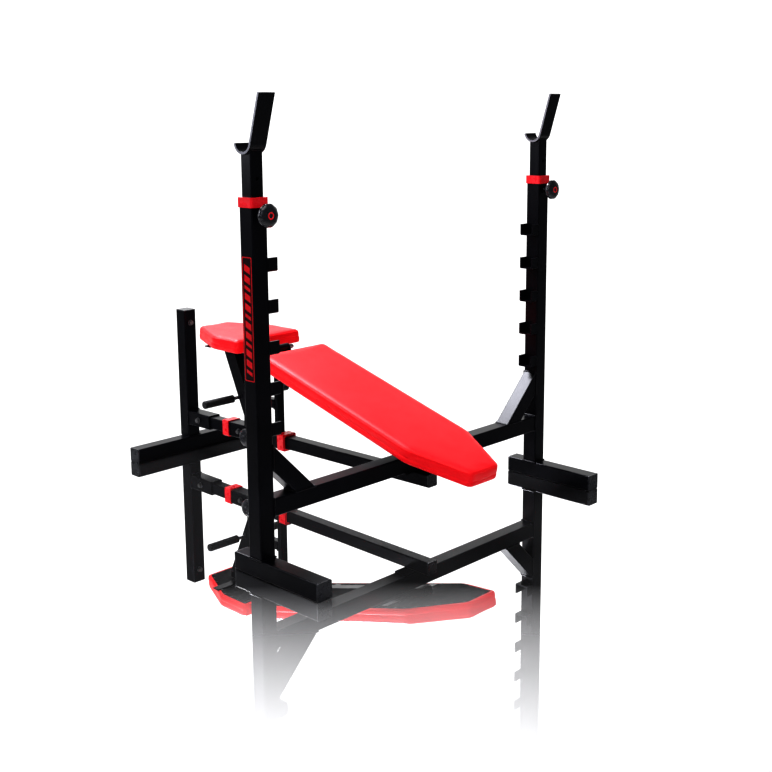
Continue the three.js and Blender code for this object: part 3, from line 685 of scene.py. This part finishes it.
def pad_outline(node, place, inset):
    """Plan outline of a pad in its own frame: the convex hull of its points, drawn in."""
    inverse = place.inverted()
    local = [inverse @ v.co for v in frame["nodes"][node].data.vertices]
    points = sorted({(round(p.x, 4), round(p.y, 4)) for p in local})

    def chain(items):
        out = []
        for p in items:
            while len(out) > 1 and ((out[-1][0] - out[-2][0]) * (p[1] - out[-2][1])
                                    - (out[-1][1] - out[-2][1]) * (p[0] - out[-2][0])) <= 0:
                out.pop()
            out.append(p)
        return out[:-1]

    hull = [Vector((x, y, 0)) for x, y in chain(points) + chain(points[::-1])]
    path = resample(hull, 4 * MM, True)
    for _ in range(4):
        path = [(path[i - 1] + 2 * p + path[(i + 1) % len(path)]) / 4 for i, p in enumerate(path)]
    out = []
    for i, p in enumerate(path):
        way = (path[(i + 1) % len(path)] - path[i - 1]).normalized()
        out.append(p + Vector((-way.y, way.x, 0)) * inset)
    return out


def sewn_edge(pad, node, body, place, top):
    """A rolled seam along the pad's top edge, with a row of stitches just inside it."""
    tree = BVHTree.FromObject(pad, bpy.context.evaluated_depsgraph_get())
    down = place.to_3x3() @ Vector((0, 0, -1))

    def on_top(p):
        hit = tree.ray_cast(place @ Vector((p.x, p.y, top + 0.05)), down)
        return (hit[0], hit[1]) if hit[0] is not None else (None, None)

    seam = bmesh.new()
    path = [on_top(p)[0] for p in pad_outline(node, place, SEAM_INSET)]
    bead(seam, [p for p in path if p is not None], SEAM_RADIUS, True, 0.0, 8, 3 * MM)
    piece(f"{node}_seam", seam, LOOKS["red_vinyl"], body, 60)

    stitches = bmesh.new()
    line = resample(pad_outline(node, place, STITCH_INSET), STITCH_PITCH, True)
    for i, p in enumerate(line):
        ahead = line[(i + 1) % len(line)]
        start, normal = on_top(p)
        end, _ = on_top(p.lerp(ahead, 0.62))
        if start is None or end is None:
            continue
        rise = (start + end) / 2 + normal * 0.35 * MM
        dip = normal * 0.3 * MM
        bead(stitches, [start - dip, rise, end - dip], 0.4 * MM, False, 0, 6, 0.9 * MM)
    piece(f"{node}_stitches", stitches, THREAD, body, 60)


def underside(pad, board, body, place):
    """The vinyl drawn round the board's edge and folded under it, with its staples."""
    inverse = place.inverted()
    bottom = min((inverse @ v.co).z for v in frame["nodes"][board].data.vertices)
    low, high = extent([inverse @ v.co for v in frame["nodes"][pad].data.vertices])
    centre, half, foot = (low + high) / 2, (high - low) / 2, low.z
    # Rings of the wrap from the pad's side to under the board: inset in millimetres, and height.
    hem = bmesh.new()
    rows = []
    for depth, z in ((3.6, foot + 11 * MM), (1.9, foot + 9 * MM), (1.5, foot + 6 * MM), (1.3, foot + 2 * MM),
                     (1.5, foot - 1.6 * MM), (2.1, bottom + 3 * MM), (3.6, bottom + 1 * MM),
                     (7, bottom - 0.4 * MM), (12.2, bottom - 0.7 * MM), (16, bottom - 0.8 * MM),
                     (22, bottom - 0.7 * MM), (23, bottom - 0.1 * MM)):
        ring = []
        for p in pad_outline(pad, place, depth * MM):
            pucker = noise.noise(p * 160) * (0.35 * MM if depth > 10 else 0.12 * MM)
            pull = pulled_in((p.x - centre.x) / half.x, (p.y - centre.y) / half.y)
            ring.append(place @ Vector((p.x - pull, p.y, z + pucker)))
        rows.append(ring)
    verts = [[hem.verts.new(p) for p in ring] for ring in rows]
    count = len(verts[0])
    for low, high in zip(verts, verts[1:]):
        for i in range(count):
            j = (i + 1) % count
            hem.faces.new((low[i], low[j], high[j], high[i]))
    piece(f"{board}_hem", hem, LOOKS["red_vinyl"], body, 75)

    cover = bmesh.new()
    rings = []
    for depth, drop in ((13.5, 0.9), (14, 1.5), (20, 1.6)):
        ring = []
        for p in pad_outline(pad, place, depth * MM):
            z = bottom - drop * MM + noise.noise(p * 120) * 0.25 * MM
            ring.append(cover.verts.new(place @ Vector((p.x, p.y, z))))
        rings.append(ring)
    for outer, inner in zip(rings, rings[1:]):
        for i in range(len(outer)):
            j = (i + 1) % len(outer)
            cover.faces.new((outer[i], outer[j], inner[j], inner[i]))
    cover.faces.new(rings[-1])
    piece(f"{board}_cover", cover, DUST_COVER, body, 60)

    staples = bmesh.new()
    line = resample(pad_outline(pad, place, STAPLE_INSET), STAPLE_PITCH, True)
    for i, p in enumerate(line):
        way = (line[(i + 1) % len(line)] - p).normalized()
        tilt = 0.5 + 0.4 * noise.noise(p * 90)
        across = Vector((-way.y, way.x, 0)) * tilt + way * (1 - tilt)
        across = across.normalized() * 5 * MM
        z = bottom - 2.0 * MM
        legs = [Vector((p.x, p.y, z + 1.4 * MM)) - across, Vector((p.x, p.y, z)) - across * 0.92,
                Vector((p.x, p.y, z)) + across * 0.92, Vector((p.x, p.y, z + 1.4 * MM)) + across]
        bead(staples, [place @ q for q in legs], 0.6 * MM, False, 0, 6, 1.2 * MM)
    piece(f"{board}_staples", staples, LOOKS["zinc_steel"], body, 60)


def principal_slope(points):
    """Angle in the YZ plane of the longest direction through a set of points."""
    n = len(points)
    my, mz = sum(p.y for p in points) / n, sum(p.z for p in points) / n
    yy = sum((p.y - my) ** 2 for p in points)
    zz = sum((p.z - mz) ** 2 for p in points)
    yz = sum((p.y - my) * (p.z - mz) for p in points)
    return 0.5 * math.atan2(2 * yz, yy - zz)


# Badge on the left upright ------------------------------------------------------------------------

def badge():
    """A plain panel without lettering: dark ground, red border and a column of slanted red bars."""
    low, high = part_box("left_upright")
    x = low.x - 0.15 * MM
    centre = high.y - (high.x - low.x) / 2
    ground, marks = bmesh.new(), bmesh.new()

    def slab(bm, outline, lift):
        front = [bm.verts.new((x - lift, y, z)) for y, z in outline]
        back = [bm.verts.new((x + 0.3 * MM, y, z)) for y, z in outline]
        bm.faces.new(front)
        for i in range(len(outline)):
            j = (i + 1) % len(outline)
            bm.faces.new((front[i], back[i], back[j], front[j]))

    def corners(half, z0, z1, radius):
        out = []
        for cy, cz, start in ((half, z1, 0), (-half, z1, 90), (-half, z0, 180), (half, z0, 270)):
            oy, oz = cy - math.copysign(radius, cy), cz - (radius if cz == z1 else -radius)
            for k in range(5):
                a = math.radians(start + 22.5 * k)
                out.append((centre + oy + radius * math.cos(a), oz + radius * math.sin(a)))
        return out

    half = BADGE_WIDTH / 2
    outer = corners(half, BADGE_BOTTOM, BADGE_TOP, 4 * MM)
    slab(ground, outer, 0.25 * MM)
    inner = corners(half - BADGE_RIM, BADGE_BOTTOM + BADGE_RIM, BADGE_TOP - BADGE_RIM, 2.5 * MM)
    rim = [[marks.verts.new((x - 0.4 * MM, y, z)) for y, z in row] for row in (outer, inner)]
    for i in range(len(outer)):
        j = (i + 1) % len(outer)
        marks.faces.new((rim[0][i], rim[0][j], rim[1][j], rim[1][i]))
    span = half - 8 * MM
    z = BADGE_BOTTOM + 14 * MM
    index = 0
    while z < BADGE_TOP - 30 * MM:
        tall = 17 * MM if index % 3 else 9 * MM
        slab(marks, [(centre - span, z), (centre + span, z + BADGE_LEAN),
                     (centre + span, z + BADGE_LEAN + tall), (centre - span, z + tall)], 0.4 * MM)
        z += tall + 10 * MM
        index += 1
    piece("left_badge_ground", ground, PRINT_DARK, "frame", 0)
    piece("left_badge_marks", marks, PRINT_RED, "frame", 0)


# Build --------------------------------------------------------------------------------------------

frame_welds()
carriage_welds()
for side in ("left", "right"):
    hook_welds(side)
    knob(f"{side}_knob", f"{side}_clamp", (0, -1, 0), "red_plastic")
knob("carriage_knob", "carriage_clamp", (-1, 0, 0), "black_plastic")
grip("foot_hold_grip_left", -1)
grip("foot_hold_grip_right", 1)
badge()

seat_place = Matrix.Identity(4)
seat_low, seat_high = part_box("seat_pad")
seat = stuffed("seat_pad", "seat_cushion", "carriage", seat_place, SEAT_SWELL)
sewn_edge(seat, "seat_pad", "carriage", seat_place, seat_high.z)
underside("seat_pad", "seat_board", "carriage", seat_place)

# The backrest's own frame: +Z out of the pad's face. Its slope comes from the board's two ends.
board = [v.co for v in frame["nodes"]["backrest_board"].data.vertices]
incline = principal_slope(board)
back_place = Matrix.Translation(middle("backrest_board")) @ Matrix.Rotation(incline, 4, "X")
back = stuffed("backrest_pad", "backrest_cushion", "backrest", back_place, BACK_SWELL)
to_back = back_place.inverted()
back_top = max((to_back @ v.co).z for v in frame["nodes"]["backrest_pad"].data.vertices)
sewn_edge(back, "backrest_pad", "backrest", back_place, back_top)
underside("backrest_pad", "backrest_board", "backrest", back_place)


# Floor, light and camera --------------------------------------------------------------------------

def floor():
    m = Material("studio_floor")
    nodes, links = m.tree.nodes, m.tree.links
    nodes.remove(m.shader)
    glossy = m.node("ShaderNodeBsdfGlossy", {"Color": (0.985, 0.985, 0.985, 1), "Roughness": 0.0})
    pale = m.node("ShaderNodeBsdfDiffuse", {"Color": (0.66, 0.66, 0.67, 1)})
    graze = m.node("ShaderNodeLayerWeight", {"Blend": 0.5}).outputs["Facing"]
    share = m.spread(graze, 0.03, 0.985, 0.50, 0.61)
    mix = m.node("ShaderNodeMixShader", {0: share, 1: pale.outputs[0], 2: glossy.outputs[0]})
    links.new(mix.outputs[0], nodes["Material Output"].inputs["Surface"])
    bm = bmesh.new()
    bmesh.ops.create_grid(bm, x_segments=2, y_segments=2, size=40)
    mesh = bpy.data.meshes.new("studio_floor")
    bm.to_mesh(mesh)
    bm.free()
    obj = loose("studio_floor", mesh)
    obj.location.z = -0.0005
    mesh.materials.append(m.block)


def studio():
    world = bpy.data.worlds.new("studio")
    bpy.context.scene.world = world
    world.use_nodes = True
    nodes, links = world.node_tree.nodes, world.node_tree.links
    background = nodes["Background"]
    direction = nodes.new("ShaderNodeTexCoord").outputs["Generated"]
    dot = nodes.new("ShaderNodeVectorMath")
    dot.operation = "DOT_PRODUCT"
    links.new(direction, dot.inputs[0])
    dot.inputs[1].default_value = (0.70, 0.71, 0.0)
    height = nodes.new("ShaderNodeSeparateXYZ")
    links.new(direction, height.inputs[0])

    def ramp(socket, start, end, low, high):
        node = nodes.new("ShaderNodeMapRange")
        node.interpolation_type = "SMOOTHSTEP"
        links.new(socket, node.inputs["Value"])
        for key, value in (("From Min", start), ("From Max", end), ("To Min", low), ("To Max", high)):
            node.inputs[key].default_value = value
        return node.outputs["Result"]

    # A pale wall behind the object, dim sides and front, and a dim ceiling.
    wall = nodes.new("ShaderNodeMath")
    wall.operation = "MULTIPLY_ADD"
    links.new(ramp(dot.outputs["Value"], 0.35, 0.85, 0.0, 0.88), wall.inputs[0])
    links.new(ramp(height.outputs["Z"], 0.42, 0.60, 1.0, 0.15), wall.inputs[1])
    wall.inputs[2].default_value = 0.18
    # Camera rays see a white backdrop on every side, and so do those that only the polished floor has
    # mirrored.
    # The world counts one bounce more than the ray has made.
    path = nodes.new("ShaderNodeLightPath").outputs

    def math_node(operation, first, second):
        node = nodes.new("ShaderNodeMath")
        node.operation = operation
        for socket, value in zip(node.inputs, (first, second)):
            if isinstance(value, float):
                socket.default_value = value
            else:
                links.new(value, socket)
        return node.outputs[0]

    mirrored = math_node("MULTIPLY", path["Is Singular Ray"], math_node("LESS_THAN", path["Ray Depth"], 2.5))
    seen = math_node("MAXIMUM", path["Is Camera Ray"], mirrored)
    pick = nodes.new("ShaderNodeMix")
    pick.data_type = "FLOAT"
    links.new(seen, pick.inputs[0])
    links.new(wall.outputs[0], pick.inputs[2])
    pick.inputs[3].default_value = 1.0
    links.new(pick.outputs[0], background.inputs["Strength"])
    background.inputs["Color"].default_value = (1, 1, 1, 1)

    def softbox(name, position, target, size, watts, tint=(1, 1, 1)):
        light = bpy.data.lights.new(name, "AREA")
        light.shape = "RECTANGLE"
        light.size, light.size_y = size
        light.energy = watts
        light.color = tint
        obj = bpy.data.objects.new(name, light)
        bpy.context.scene.collection.objects.link(obj)
        obj.location = position
        obj.rotation_euler = (Vector(target) - Vector(position)).to_track_quat("-Z", "Y").to_euler()
        obj.visible_camera = False
        return obj

    softbox("overhead_back", (0.2, 2.0, 3.2), (0.2, -0.2, 0.4), (2.2, 1.6), 190)
    softbox("overhead_front", (-1.4, -1.6, 3.6), (0, 0, 0.4), (2.4, 2.4), 66)
    softbox("hook_glint", (-1.80, 0.90, 1.36), (-0.6, -0.4, 1.25), (0.8, 0.42), 10, (0.90, 0.91, 1.0))
    for name, position, target, size, watts in (
            ("brace_glint", (0.2, 1.5, 2.7), (0.5, -0.43, 0.28), (1.3, 1.0), 135),
            ("corner_glint", (-3.3, -2.6, 1.7), (0, -0.3, 0.9), (0.25, 1.3), 14)):
        softbox(name, position, target, size, watts, (0.84, 0.85, 1.0)).visible_diffuse = False


def camera():
    """The photo's viewpoint, from a fit of the rack, feet and beam to the picture."""
    position = Vector((-2.48082, -2.72358, 1.22610))
    yaw, pitch, roll = math.radians(45.89), math.radians(-10.31), math.radians(-0.41)
    forward = Vector((math.sin(yaw) * math.cos(pitch), math.cos(yaw) * math.cos(pitch), math.sin(pitch)))
    level = Vector((math.cos(yaw), -math.sin(yaw), 0))
    up = level.cross(forward)
    right = level * math.cos(roll) + up * math.sin(roll)
    top = up * math.cos(roll) - level * math.sin(roll)
    data = bpy.data.cameras.new("camera")
    obj = bpy.data.objects.new("camera", data)
    bpy.context.scene.collection.objects.link(obj)
    turn = Matrix((right, top, -forward)).transposed().to_4x4()
    obj.matrix_world = Matrix.Translation(position) @ turn
    data.sensor_fit = "HORIZONTAL"
    data.sensor_width = 36
    data.lens = 54.48
    data.shift_y = -0.0855
    data.clip_end = 200
    bpy.context.scene.camera = obj


floor()
studio()
camera()
view = bpy.context.scene.view_settings
view.view_transform = "Standard"
view.look = "High Contrast"
